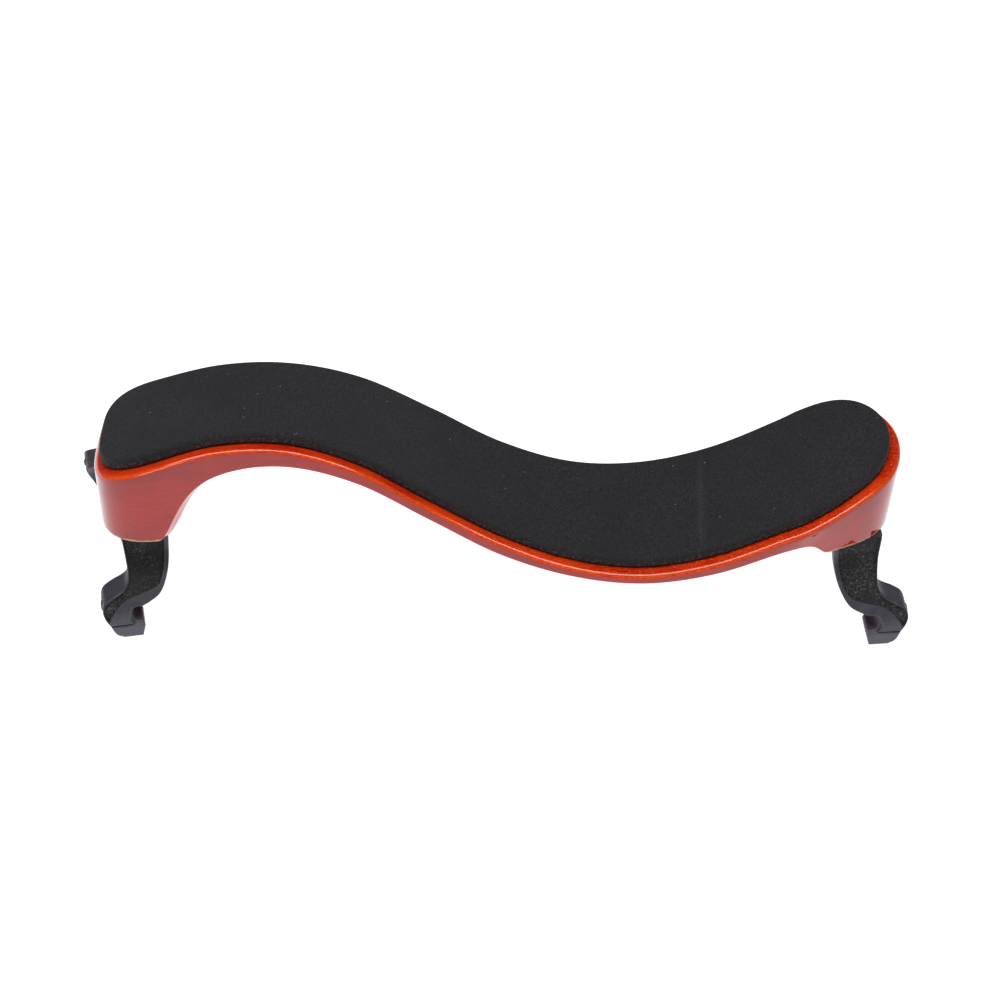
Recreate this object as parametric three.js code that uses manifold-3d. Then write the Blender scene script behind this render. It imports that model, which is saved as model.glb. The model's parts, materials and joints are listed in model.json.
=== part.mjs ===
// Violin shoulder rest: a carved S-shaped maple bar with a foam pad on top, and a height-adjustable fork
// under each end. The forks' claws grip the edges of the violin's back.
// Millimetres, +Z up, +X from the shoulder end to the chest end. The claws stand on z = 0.
import * as THREE from "three";
import { mergeVertices } from "three/addons/utils/BufferGeometryUtils.js";
import Module from "manifold-3d";

const wasm = await Module();
wasm.setup();

// ---- Driving dimensions ----

const GAP = 0.3; // between pieces that touch

// The bar's middle line at stations along x: its y, top z, half width, cross slope and edge thickness
const STATIONS = [
  { x: -115, y: 2.6, z: 48.6, half: 23.7, slope: -0.185, edge: 5.5 },
  { x: -100, y: 2.6, z: 53.9, half: 23.7, slope: -0.16, edge: 5.5 },
  { x: -80, y: 5.4, z: 58.2, half: 23.6, slope: -0.185, edge: 5.5 },
  { x: -60, y: 6.6, z: 57.9, half: 23.5, slope: -0.185, edge: 5.0 },
  { x: -40, y: 5.6, z: 52.5, half: 24.0, slope: -0.155, edge: 4.5 },
  { x: -20, y: 2.7, z: 42.4, half: 24.4, slope: -0.12, edge: 4.2 },
  { x: 0, y: -3.2, z: 34.6, half: 23.8, slope: -0.09, edge: 4.2 },
  { x: 20, y: -8.3, z: 30.9, half: 23.8, slope: -0.06, edge: 3.3 },
  { x: 40, y: -10.0, z: 30.8, half: 24.5, slope: -0.03, edge: 3.1 },
  { x: 60, y: -8.4, z: 34.3, half: 25.2, slope: -0.028, edge: 3.8 },
  { x: 80, y: -4.8, z: 41.1, half: 25.7, slope: -0.02, edge: 4.4 },
  { x: 100, y: 0.4, z: 47.4, half: 27.6, slope: -0.01, edge: 5.0 },
  { x: 115, y: 0.8, z: 50.6, half: 27.6, slope: 0, edge: 5.0 },
];
const UNDERSIDE_CROWN = 2.2; // the bar is this much thicker along its middle
const EDGE_RADIUS = 1.5; // rounding of the bar's top edge

// The rounded ends: where the rounding starts, its length along x, its power at the top and at the bottom,
// and how far the block's walls lean in at the bottom, along the sides and at the tip
const SHOULDER_END = { start: -96, length: -18.6, power: 3.3, lowPower: 3.3, lean: 1, tipLean: 0.4 };
const CHEST_END = { start: 84, length: 29.2, power: 2.1, lowPower: 2.9, lean: 2.8, tipLean: 2.3 };
const TIP_ANGLE = THREE.MathUtils.degToRad(86); // each end stops in a narrow flat

// The end blocks: one flat bottom height, an inner edge that falls back at its corners, and the width of
// the fillet that sweeps up to the bar's underside
const BLOCK_BOTTOM = 31;
const SHOULDER_BLOCK = { inner: -92.5, corner: -4, fillet: 6.8 };
const CHEST_BLOCK = { inner: 89.5, corner: 2.5, fillet: 4.2 };

const PAD_INSET = 3.4; // width of the wooden ledge round the pad
const PAD_STRETCH = 2; // the pad reaches this much nearer to the shoulder end's tip
const PAD_THICKNESS = 3.4;
const PAD_EDGE_RADIUS = 1;
const ADHESIVE_THICKNESS = 0.3;

// Each end's screw axis, and how far its fork is turned: at 0 degrees the claws point along +x
const SHOULDER_AXIS = { x: -103.9, y: 10.8, turn: 190 };
const CHEST_AXIS = { x: 97.4, y: 5.9, turn: 5 };

// The threaded hardware
const SCREW = { radius: 3, bottom: 22.5, top: 43, chamfer: 0.6 };
const INSERT = { outer: 4.5, top: 43.2 };
const COLLAR = { radius: 6, height: 0.9 };
const WASHER = { radius: 7, height: 1 };
const NUT = { radius: 5.8, height: 3.2 };
const NUT_SIDES = 6;

// The fork in its own frame: the screw's axis is z, the claws point along x, and its length is along y
const FORK_TOP = BLOCK_BOTTOM - GAP;
const HUB = { inner: -4.6, outer: 8.4, halfLength: 21.8, thickness: 4.2 };
const BOSS = { radius: 9, bottom: 22.2 };
const LEG_REACH = 24.8; // from the axis to the leg's outer face, at the top
const CLAW_REACH = 36.3; // the same, at the claw
const SPLAY = { top: 25, bottom: 7 }; // the leg splays out between these heights
const LEG_THICKNESS = 4;
const CLAW_THICKNESS = 8.6;
const THICKENING = { top: 19, bottom: 12.6 }; // the leg thickens into the claw between these heights
const JAW = { floor: 4.8, roof: 10, back: 7.7, mouth: 4.3 }; // takes the edge of a violin's back
const LINER = { roof: 12.2, back: 9.4, seam: 4.6, width: 0.72 }; // the rubber's outer faces
const FOOT = { inner: 4.9, outer: 10.4 }; // the flat foot of a claw
const TONGUE = { inner: 5.4, outer: 12, bottom: 1.7, top: 3.1, width: 0.45 }; // held in the rubber
const SLOT = { bottom: 8, top: 10.6, width: 0.35 }; // in the knee, for the rubber's barb
const BARB_LENGTH = 5.6;
const KNEE = 15.8; // the prong's outermost point

// The plastic prong's outline in x and z, from the top of the leg down its inner edge and back up
const PRONG = [
  [-5.2, FORK_TOP],
  [-5, 23.5],
  [-4.4, 18.8],
  [-2.9, 15.2],
  [-0.9, 12.7],
  [2, 11.2],
  [JAW.mouth, JAW.roof + GAP],
  [JAW.back + GAP, JAW.roof + GAP],
  [JAW.back + GAP, LINER.seam + GAP],
  [14.1, LINER.seam + GAP],
  [15.3, 7.4],
  [KNEE, 9.8],
  [14.9, 11.8],
  [12.4, 13],
  [9.6, 14.2],
  [8, 15.6],
  [7.4, 17.8],
  [8, 24.5],
  [8.5, FORK_TOP],
];

// The rubber's lower jaw, as deep as the prong
const LOWER_JAW = [
  [FOOT.inner, 0],
  [FOOT.outer, 0],
  [12.6, 1.4],
  [14, LINER.seam],
  [JAW.mouth + 0.2, LINER.seam],
  [JAW.mouth - 0.2, 3.6],
];

// Its liner round the jaw, between the prong's two cheeks, in slabs that follow the splay
const LINER_ROOT = 3.8;
const JAW_STEPS = [JAW.floor, 6.1, 7.4, 8.7, JAW.roof];
const LINING = [
  rectangle(JAW.mouth + 0.5, LINER.back, LINER_ROOT, JAW.floor),
  ...slabs(JAW.back, LINER.back, JAW_STEPS),
  rectangle(JAW.mouth, LINER.back, JAW.roof, LINER.roof),
];

// The middle of the model's outside box, which the part's origin lies under
const CENTRE = { x: -4.698, y: 5.651 };

// ---- Materials ----

const varnish = { color: 0xb02a12, roughness: 0.22, metalness: 0 };
const foam = { color: 0x2d2d30, roughness: 0.95, metalness: 0 };
const film = { color: 0x34302c, roughness: 0.6, metalness: 0 };
const plastic = { color: 0x242428, roughness: 0.6, metalness: 0 };
const rubber = { color: 0x3a3a44, roughness: 0.8, metalness: 0 };
const brass = { color: 0xb08d4a, roughness: 0.35, metalness: 1 };
const steel = { color: 0xa8abb0, roughness: 0.3, metalness: 1 };
const fibre = { color: 0x2a2624, roughness: 0.9, metalness: 0 };

// ---- Solids ----

// A closed geometry as a solid that can be joined and cut
function solid(geometry) {
  const bare = geometry.clone();
  bare.deleteAttribute("normal");
  bare.deleteAttribute("uv");
  const merged = mergeVertices(bare, 1e-4);
  return new wasm.Manifold(
    new wasm.Mesh({
      numProp: 3,
      vertProperties: merged.attributes.position.array,
      triVerts: new Uint32Array(merged.index.array),
    }),
  );
}

// The geometry of a solid
function geometryOf(made) {
  const mesh = made.getMesh();
  const geometry = new THREE.BufferGeometry();
  geometry.setAttribute("position", new THREE.BufferAttribute(mesh.vertProperties, 3));
  geometry.setIndex(new THREE.BufferAttribute(mesh.triVerts, 1));
  geometry.computeVertexNormals();
  return geometry;
}

function part(name, geometry, finish) {
  const mesh = new THREE.Mesh(geometry, new THREE.MeshStandardMaterial(finish));
  mesh.name = name;
  return mesh;
}

// An upright cylinder between two heights
function rod(x, y, radius, bottom, top, sides = 24) {
  const geometry = new THREE.CylinderGeometry(radius, radius, top - bottom, sides);
  geometry.rotateX(Math.PI / 2);
  geometry.translate(x, y, (bottom + top) / 2);
  return geometry;
}

// A turned piece about the z axis, from its outline as pairs of radius and height
function turned(outline, sides = 24) {
  const profile = outline.map(([radius, height]) => new THREE.Vector2(radius, height));
  return new THREE.LatheGeometry(profile, sides).rotateX(Math.PI / 2);
}

// A bush about the z axis
function bush(inner, outer, bottom, top) {
  return turned([
    [inner, bottom],
    [outer, bottom],
    [outer, top],
    [inner, top],
    [inner, bottom],
  ]);
}

// ---- The bar's surfaces ----

const FIELDS = ["y", "z", "half", "slope", "edge"];
const barCurve = new THREE.CubicInterpolant(
  STATIONS.map((station) => station.x),
  STATIONS.flatMap((station) => FIELDS.map((field) => station[field])),
  FIELDS.length,
);

function barAt(x) {
  const values = barCurve.evaluate(x);
  return Object.fromEntries(FIELDS.map((field, i) => [field, values[i]]));
}

// How far an end block has taken over from the bar's underside: 1 on the block, 0 away from it.
// across runs from -1 to 1 over the bar's width.
function blockWeight(x, across) {
  const weights = [SHOULDER_BLOCK, CHEST_BLOCK].map(({ inner, corner, fillet }) => {
    const edge = inner + corner * across ** 4;
    const beyond = Math.max(0, Math.sign(inner) * (edge - x));
    return 1 / (1 + (beyond / fillet) ** 2);
  });
  return Math.max(...weights);
}

// Evenly spaced numbers, without the last
function spaced(from, to, count) {
  return Array.from({ length: count }, (_, i) => from + ((to - from) * i) / count);
}

// The rings of a loft along the bar: plain ones at an x, and those of the rounded ends at an angle
function barRings(shoulderCount, chestCount, middle) {
  const around = (end, count) =>
    spaced(0, TIP_ANGLE, count).map((_, i) => ({ end, angle: (TIP_ANGLE * (i + 1)) / count }));
  return [
    ...around(SHOULDER_END, shoulderCount).reverse(),
    ...middle.map((x) => ({ x })),
    { x: CHEST_END.start },
    ...around(CHEST_END, chestCount),
  ];
}

// A ring's x and half width, with the outline in plan drawn in by inset all round, and by a share of the
// lean as well
function planAt(ring, inset, leanShare) {
  if (!ring.end) {
    const near = ring.x < 0 ? SHOULDER_END : CHEST_END;
    return { x: ring.x, half: barAt(ring.x).half - inset - leanShare * near.lean };
  }
  const { start, length, power, lowPower, lean, tipLean } = ring.end;
  const rounding = 2 / THREE.MathUtils.lerp(power, lowPower, leanShare);
  const reach = length - Math.sign(length) * (inset + leanShare * tipLean);
  const x = start + reach * Math.sin(ring.angle) ** rounding;
  const half = (barAt(start).half - inset - leanShare * lean) * Math.cos(ring.angle) ** rounding;
  return { x, half };
}

function topHeight(x, y) {
  const bar = barAt(x);
  return bar.z + bar.slope * (y - bar.y);
}

// The underside: the bar's own, blending into the flat bottom of an end block
function bottomHeight(x, y, across) {
  const own = topHeight(x, y) - barAt(x).edge - UNDERSIDE_CROWN * (1 - across ** 2);
  return THREE.MathUtils.lerp(own, BLOCK_BOTTOM, blockWeight(x, across));
}

// The share of its end's lean that the walls have at the bottom of a ring
function leanAt(ring) {
  return blockWeight(planAt(ring, 0, 0).x, 0);
}

// The outline of a section: over the top from its middle, round the edge, back under the bottom, and up
// the other side. hand is the side, and share the part of the half width.
function sectionOutline(steps, roundSteps, radius) {
  const top = spaced(0, 1, steps).map((share) => ({ share, inset: radius, drop: 0, low: false }));
  const round = spaced(0, Math.PI / 2, roundSteps + 1).map((_, i) => {
    const angle = (Math.PI / 2) * (i / roundSteps);
    const inset = radius * (1 - Math.sin(angle));
    return { share: 1, inset, drop: radius * (1 - Math.cos(angle)), low: false };
  });
  const under = spaced(1, 0, steps).map((share) => ({ share, inset: 0, low: true }));
  const near = [...top, ...round, ...under];
  const far = near.slice(1).reverse();
  const bottomMiddle = { hand: 1, share: 0, inset: 0, low: true };
  return [
    ...near.map((knot) => ({ ...knot, hand: -1 })),
    bottomMiddle,
    ...far.map((knot) => ({ ...knot, hand: 1 })),
  ];
}

// A closed solid through the rings: each takes the section's outline, placed by place(ring, knot)
function loft(rings, outline, place) {
  const sides = outline.length;
  const geometry = new THREE.CylinderGeometry(1, 1, 1, sides, rings.length - 1);
  const position = geometry.attributes.position;
  const unit = new THREE.Vector3();
  for (let i = 0; i < position.count; i += 1) {
    unit.fromBufferAttribute(position, i);
    const ring = rings[Math.round((unit.y + 0.5) * (rings.length - 1))];
    const turn = Math.atan2(unit.x, unit.z) / (2 * Math.PI);
    const side = Math.round(turn * sides + sides) % sides;
    const onAxis = Math.hypot(unit.x, unit.z) < 0.5;
    const walls = outline.filter(({ share, inset }) => share === 1 && inset < 1e-6);
    const placed = onAxis ? middleOf(walls.map((knot) => place(ring, knot))) : place(ring, outline[side]);
    position.setXYZ(i, ...placed);
  }
  return geometry;
}

function middleOf(points) {
  return [0, 1, 2].map((axis) => points.reduce((sum, point) => sum + point[axis], 0) / points.length);
}

// ---- The bar and its pad ----

function mapleBody() {
  const middle = [
    ...spaced(SHOULDER_END.start, -78, 14),
    ...spaced(-78, 70, 25),
    ...spaced(70, CHEST_END.start, 5),
  ];
  const rings = barRings(8, 18, middle);
  const place = (ring, knot) => {
    const plan = planAt(ring, knot.inset, knot.low ? leanAt(ring) : 0);
    const y = barAt(plan.x).y + knot.hand * knot.share * plan.half;
    const z = knot.low ? bottomHeight(plan.x, y, knot.share) : topHeight(plan.x, y) - knot.drop;
    return [plan.x, y, z];
  };
  let bar = solid(loft(rings, sectionOutline(4, 3, EDGE_RADIUS), place));
  for (const { x, y } of [SHOULDER_AXIS, CHEST_AXIS]) {
    bar = bar.subtract(solid(rod(x, y, INSERT.outer + GAP, BLOCK_BOTTOM - 1, INSERT.top + GAP)));
  }
  return part("maple_body", geometryOf(bar), varnish);
}

// A layer that follows the top of the bar, between two heights above it
function layer(name, finish, low, high, edgeRadius) {
  const rings = barRings(6, 8, spaced(SHOULDER_END.start, CHEST_END.start, 26));
  const place = (ring, knot) => {
    const plan = planAt(ring, PAD_INSET + knot.inset, 0);
    const past = Math.max(0, (plan.x - SHOULDER_END.start) / SHOULDER_END.length);
    const x = plan.x - PAD_STRETCH * past;
    const y = barAt(x).y + knot.hand * knot.share * plan.half;
    const z = topHeight(x, y) + (knot.low ? low : high - knot.drop);
    return [x, y, z];
  };
  return part(name, loft(rings, sectionOutline(2, 1, edgeRadius), place), finish);
}

// ---- The forks ----

const smooth = (from, to, z) => THREE.MathUtils.smoothstep(-z, -from, -to);

// The distance from the fork's middle to the prong's outer face, and its thickness, at a height
function reachAt(z) {
  return THREE.MathUtils.lerp(LEG_REACH, CLAW_REACH, smooth(SPLAY.top, SPLAY.bottom, z));
}

function thicknessAt(z) {
  return THREE.MathUtils.lerp(LEG_THICKNESS, CLAW_THICKNESS, smooth(THICKENING.top, THICKENING.bottom, z));
}

// A slice of the prong on the side of hand: an outline in x and z, as deep as width times the prong's
// thickness there, less a margin on both faces
function prongSlice(outline, hand, width = 1, margin = 0) {
  const shape = new THREE.Shape(outline.map(([x, z]) => new THREE.Vector2(x, z)));
  const geometry = new THREE.ExtrudeGeometry(shape, { depth: 1, bevelEnabled: false });
  geometry.rotateX(Math.PI / 2);
  const position = geometry.attributes.position;
  for (let i = 0; i < position.count; i += 1) {
    const z = position.getZ(i);
    const across = position.getY(i) + 0.5; // from -0.5 on the -y face to 0.5
    const thickness = thicknessAt(z);
    const middle = hand * (reachAt(z) - thickness / 2);
    position.setY(i, middle + across * (thickness * width - 2 * margin));
  }
  return geometry;
}

function rectangle(inner, outer, bottom, top) {
  return [
    [inner, bottom],
    [outer, bottom],
    [outer, top],
    [inner, top],
  ];
}

// Rectangles between successive heights
function slabs(inner, outer, heights) {
  return heights.slice(1).map((top, i) => rectangle(inner, outer, heights[i], top));
}

// The tongue that holds the rubber's lower jaw, with a clearance all round for cutting its pocket
function tongue(hand, clearance) {
  const { inner, outer, bottom, top, width } = TONGUE;
  const neck = outer - (top - bottom);
  const bar = rectangle(inner - clearance, outer + clearance, bottom - clearance, top + clearance);
  const post = rectangle(neck - clearance, outer + clearance, bottom - clearance, LINER.seam + 2 * GAP);
  return solid(prongSlice(bar, hand, width, -clearance)).add(
    solid(prongSlice(post, hand, width, -clearance)),
  );
}

function barbOutline(clearance) {
  return rectangle(LINER.back - 1, LINER.back + BARB_LENGTH, SLOT.bottom + clearance, SLOT.top - clearance);
}

function forkBody() {
  const { inner, outer, halfLength, thickness } = HUB;
  const bar = new THREE.BoxGeometry(outer - inner, 2 * halfLength, thickness);
  bar.translate((inner + outer) / 2, 0, FORK_TOP - thickness / 2);
  let fork = solid(bar).add(solid(rod(0, 0, BOSS.radius, BOSS.bottom, FORK_TOP)));
  for (const hand of [-1, 1]) {
    const pocketSteps = [LINER_ROOT, ...JAW_STEPS, LINER.roof + GAP];
    const pocket = slabs(JAW.mouth - GAP, LINER.back + GAP, pocketSteps);
    const throughKnee = rectangle(LINER.back, KNEE + 1, SLOT.bottom, SLOT.top);
    fork = fork.add(solid(prongSlice(PRONG, hand)));
    for (const slab of pocket) fork = fork.subtract(solid(prongSlice(slab, hand, LINER.width, -GAP)));
    fork = fork.add(tongue(hand, 0));
    fork = fork.subtract(solid(prongSlice(throughKnee, hand, SLOT.width)));
  }
  const washerFloor = FORK_TOP - WASHER.height - COLLAR.height - 2 * GAP;
  const nutRoof = BOSS.bottom + NUT.height + 2 * GAP;
  return fork
    .subtract(solid(rod(0, 0, SCREW.radius + GAP, BOSS.bottom - 1, FORK_TOP)))
    .subtract(solid(rod(0, 0, WASHER.radius + GAP, washerFloor, FORK_TOP + 1)))
    .subtract(solid(rod(0, 0, NUT.radius + GAP, BOSS.bottom - 1, nutRoof)));
}

function clawPad(hand) {
  let pad = solid(prongSlice(LOWER_JAW, hand));
  for (const slab of LINING) pad = pad.add(solid(prongSlice(slab, hand, LINER.width)));
  return pad
    .subtract(tongue(hand, GAP))
    .add(solid(prongSlice(barbOutline(GAP), hand, SLOT.width, GAP)));
}

function heightScrew() {
  const { radius, bottom, top, chamfer } = SCREW;
  const collarTop = FORK_TOP - WASHER.height - GAP;
  const collarBottom = collarTop - COLLAR.height;
  return turned([
    [0, bottom],
    [radius, bottom],
    [radius, collarBottom],
    [COLLAR.radius, collarBottom],
    [COLLAR.radius, collarTop],
    [radius, collarTop],
    [radius, top - chamfer],
    [radius - chamfer, top],
    [0, top],
  ]);
}

function hubNut() {
  const bottom = BOSS.bottom + GAP;
  const blank = solid(rod(0, 0, NUT.radius, bottom, bottom + NUT.height, NUT_SIDES));
  return blank.subtract(solid(rod(0, 0, SCREW.radius + GAP, bottom - 1, bottom + NUT.height + 1)));
}

// Everything on one screw axis. backHand is the fork's own side that faces the back, +y.
function end(prefix, axis, backHand) {
  const group = new THREE.Group();
  group.position.set(axis.x, axis.y, 0);
  group.rotation.z = THREE.MathUtils.degToRad(axis.turn);
  const insert = bush(SCREW.radius + GAP, INSERT.outer, BLOCK_BOTTOM + GAP, INSERT.top);
  const washer = bush(SCREW.radius + GAP, WASHER.radius, FORK_TOP - WASHER.height, FORK_TOP);
  group.add(
    part(`${prefix}_thread_insert`, insert, brass),
    part(`${prefix}_height_screw`, heightScrew(), steel),
    part(`${prefix}_wood_washer`, washer, fibre),
    part(`${prefix}_fork`, geometryOf(forkBody()), plastic),
    part(`${prefix}_hub_nut`, geometryOf(hubNut()), steel),
    part(`${prefix}_front_claw_pad`, geometryOf(clawPad(-backHand)), rubber),
    part(`${prefix}_back_claw_pad`, geometryOf(clawPad(backHand)), rubber),
  );
  return group;
}

// ---- The whole rest ----

const rest = new THREE.Group();
const filmBottom = GAP;
const filmTop = filmBottom + ADHESIVE_THICKNESS;
const padBottom = filmTop + GAP;
rest.add(
  mapleBody(),
  layer("pad_adhesive", film, filmBottom, filmTop, 0.05),
  layer("foam_pad", foam, padBottom, padBottom + PAD_THICKNESS, PAD_EDGE_RADIUS),
  end("shoulder", SHOULDER_AXIS, -1),
  end("chest", CHEST_AXIS, 1),
);
rest.position.set(-CENTRE.x, -CENTRE.y, 0);

export default rest;
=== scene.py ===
import json
import math

import bmesh
import bpy
import numpy as np
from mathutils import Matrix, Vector


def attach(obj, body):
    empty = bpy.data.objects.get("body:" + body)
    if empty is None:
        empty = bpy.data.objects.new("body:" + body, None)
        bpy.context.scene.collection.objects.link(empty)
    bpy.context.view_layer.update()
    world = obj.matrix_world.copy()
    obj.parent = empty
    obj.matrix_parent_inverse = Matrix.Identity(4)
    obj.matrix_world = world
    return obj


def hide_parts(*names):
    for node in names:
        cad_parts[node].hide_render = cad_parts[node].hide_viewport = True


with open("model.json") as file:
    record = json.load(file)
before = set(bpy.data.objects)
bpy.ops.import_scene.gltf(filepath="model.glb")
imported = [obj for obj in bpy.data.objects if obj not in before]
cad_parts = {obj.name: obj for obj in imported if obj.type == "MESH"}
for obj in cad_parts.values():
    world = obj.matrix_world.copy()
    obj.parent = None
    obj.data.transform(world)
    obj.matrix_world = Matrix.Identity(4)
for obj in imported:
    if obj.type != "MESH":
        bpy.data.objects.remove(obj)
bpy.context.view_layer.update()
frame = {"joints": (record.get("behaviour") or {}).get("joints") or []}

# Looks of a violin shoulder rest: a varnished maple bar with a foam pad, on two plastic forks with rubber
# claws. Shapes are worked out in millimetres in the part's design coordinates, then moved to the row frame
# in metres.

MM = 0.001
joints = {joint["name"]: joint for joint in frame["joints"]}

# ---- Driving dimensions, in millimetres ----

# The bar's middle line at stations along x: x, y, top z, half width, cross slope and edge thickness
STATIONS = np.array([
    (-115, 2.6, 48.6, 23.7, -0.185, 5.5),
    (-100, 2.6, 53.9, 23.7, -0.16, 5.5),
    (-80, 5.4, 58.2, 23.6, -0.185, 5.5),
    (-60, 6.6, 57.9, 23.5, -0.185, 5.0),
    (-40, 5.6, 52.5, 24.0, -0.155, 4.5),
    (-20, 2.7, 42.4, 24.4, -0.12, 4.2),
    (0, -3.2, 34.6, 23.8, -0.09, 4.2),
    (20, -8.3, 30.9, 23.8, -0.06, 3.3),
    (40, -10.0, 30.8, 24.5, -0.03, 3.1),
    (60, -8.4, 34.3, 25.2, -0.028, 3.8),
    (80, -4.8, 41.1, 25.7, -0.02, 4.4),
    (100, 0.4, 47.4, 27.6, -0.01, 5.0),
    (115, 0.8, 50.6, 27.6, 0, 5.0),
])
UNDERSIDE_CROWN = 2.2  # how much thicker the bar is along its middle line than at its edges
TOP_RADIUS = 1.5  # the rounding of the top edges
LOW_RADIUS = 0.6  # and of the lower ones

# The rounded ends: where the rounding starts, its length along x, its power at the top and at the bottom,
# and how far the walls lean in at the bottom, along the sides and at the tip
SHOULDER_END = {"start": -96, "length": -18.6, "power": 3.3, "low_power": 3.3, "lean": 1, "tip_lean": 0.4}
CHEST_END = {"start": 84, "length": 29.2, "power": 2.1, "low_power": 2.9, "lean": 2.8, "tip_lean": 2.3}
SPINE_SHARE = 0.55  # how far the middle line follows the rounding of an end

BLOCK_BOTTOM = 31
BLOCKS = [(-92.5, -4, 6.8), (89.5, 2.5, 4.2)]  # inner edge, its fall at the corners, and the fillet's width
INSERT_BORE_RADIUS = 4.8
INSERT_BORE_TOP = 43.5

# The pad and its adhesive film: insets from the rim, and heights above the bar's top
PAD_INSET = 3.4
PAD_BOTTOM = 0.9
PAD_TOP = 4.3
PAD_RADIUS = 0.7
PAD_STRETCH = 2  # how much further both reach at the shoulder end's tip
# The film sits further in than the pad, so that its dark colour shows as painted shade in the gap.
FILM_INSET = PAD_INSET + 0.5
FILM_BOTTOM = 0.04
FILM_TOP = 0.86
FILM_RADIUS = 0.1
CREASE_X = 57  # the faint crease across the pad, where y is 0
CREASE_DEPTH = 0.12

# Each end's screw axis, how far its fork is turned, and the fork's own side that faces the back
ENDS = {
    "shoulder": {"x": -103.9, "y": 10.8, "turn": 190, "back": -1},
    "chest": {"x": 97.4, "y": 5.9, "turn": 5, "back": 1},
}
CHEST_PIN = joints["chest_turn"]["pos_m"]
SHIFT = np.array([CHEST_PIN[0] / MM - ENDS["chest"]["x"], CHEST_PIN[1] / MM - ENDS["chest"]["y"], 0])

# The fork in its own frame: the screw's axis is z, the claws point along x, and its length is along y
FORK_TOP = 30.7
LEG_REACH = 24.8  # from the axis to a leg's outer face, at the top
CLAW_REACH = 36.3  # and at the claw
SPLAY = (25, 7)  # the heights between which a leg splays out
LEG_THICKNESS = 4
CLAW_THICKNESS = 8.6
THICKENING = (19, 12.6)  # the heights between which a leg thickens to its claw
RECESS_DEPTH = 0.9  # of the sandy recess in a leg's outer face
FLANGE = 1.5  # the smooth border of the recess, on the side of low x
LIP = 0.45  # and on the side of high x
BARB_HEIGHT = 9.3  # the middle of the slot through the knee, and of the rubber's barb in it
BOSS_RADIUS = 9
BOSS_BOTTOM = 22.2
# Radius, bottom and top of the screw's hole, the recess for its collar and washer, and the nut's recess
HUB_HOLES = ((3.3, 20, 34), (7.3, 28.2, 34), (6.1, 20, 26))
FORK_BOX = ((-10, -37.5, 3.5), (17, 37.5, 31.5))

# The screw and the nut
PITCH = 1.0
THREAD_RADIUS = 3.0
ROOT_RADIUS = 2.42
THREAD_BOTTOM = 29.7
THREAD_TOP = 42.9
NUT_MIDDLE = 24.1
NUT_HALF_HEIGHT = 1.6
NUT_RADIUS = 5.8  # over the corners
NUT_BORE = 3.05
NUT_BOX = ((-6.5, -6.5, 22), (6.5, 6.5, 26.2))

# The camera
CAMERA_TILT = math.radians(42)
CAMERA_DISTANCE = 0.9  # metres
CAMERA_AIM = (0, -2.0, 30.8)


# ---- Meshes ----


def closed_mesh(name, points, faces, attributes=None):
    """A mesh from points in millimetres, its doubled points merged and its faces turned outwards."""
    mesh = bpy.data.meshes.new(name)
    mesh.from_pydata((points * MM).tolist(), [], faces.tolist())
    for key, values in (attributes or {}).items():
        mesh.attributes.new(key, "FLOAT", "POINT").data.foreach_set("value", np.asarray(values, np.float32))
    work = bmesh.new()
    work.from_mesh(mesh)
    bmesh.ops.remove_doubles(work, verts=work.verts, dist=2e-6)
    bmesh.ops.dissolve_degenerate(work, edges=work.edges, dist=1e-6)
    bmesh.ops.recalc_face_normals(work, faces=work.faces)
    work.to_mesh(mesh)
    work.free()
    return mesh


def add_object(name, data):
    made = bpy.data.objects.new(name, data)
    bpy.context.scene.collection.objects.link(made)
    return made


def new_piece(name, points, faces, body, material, nodes, attributes=None):
    """A smooth-shaded piece from points in millimetres in the row frame, riding on a body."""
    mesh = closed_mesh(name, points, faces, attributes)
    mesh.shade_smooth()
    mesh.materials.append(material)
    piece = add_object(name, mesh)
    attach(piece, body)
    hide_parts(*nodes)
    return piece


def grid_faces(rows, columns):
    """Quads over a grid of points, row after row, each row closed into a ring."""
    i, j = np.meshgrid(np.arange(rows - 1), np.arange(columns), indexing="ij")
    after = (j + 1) % columns
    corners = [i * columns + j, i * columns + after, (i + 1) * columns + after, (i + 1) * columns + j]
    return np.stack(corners, -1).reshape(-1, 4)


def smoothstep(low, high, value):
    share = np.clip((value - low) / (high - low), 0, 1)
    return share * share * (3 - 2 * share)


def lerp(a, b, share):
    return a + (b - a) * share


# ---- The bar's surfaces ----


def bar_at(x):
    """The bar's y, top z, half width, cross slope and edge thickness at x, on curves through the stations."""
    knots = STATIONS[:, 0]
    secants = np.diff(STATIONS[:, 1:], axis=0) / np.diff(knots)[:, None]
    slopes = np.vstack([secants[:1], (secants[1:] + secants[:-1]) / 2, secants[-1:]])
    i = np.clip(np.searchsorted(knots, x, side="right") - 1, 0, len(knots) - 2)
    span = (knots[i + 1] - knots[i])[..., None]
    t = (np.asarray(x)[..., None] - knots[i][..., None]) / span
    low, high = STATIONS[i, 1:], STATIONS[i + 1, 1:]
    curve = (
        (2 * t**3 - 3 * t**2 + 1) * low
        + (t**3 - 2 * t**2 + t) * span * slopes[i]
        + (3 * t**2 - 2 * t**3) * high
        + (t**3 - t**2) * span * slopes[i + 1]
    )
    return np.moveaxis(curve, -1, 0)


def top_height(x, y):
    middle, z, _, slope, _ = bar_at(x)
    return z + slope * (y - middle)


def start_half(end):
    """The bar's half width where an end's rounding starts."""
    return bar_at(np.array(float(end["start"])))[2]


def plan_half(x):
    """The plan's half width at x, the rounded ends included."""
    half = bar_at(x)[2]
    for end in (SHOULDER_END, CHEST_END):
        share = np.clip((x - end["start"]) / end["length"], 0, 1)
        rounded = start_half(end) * (1 - share ** end["power"]) ** (1 / end["power"])
        half = np.where(share > 0, rounded, half)
    return np.maximum(half, 1e-3)


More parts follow.
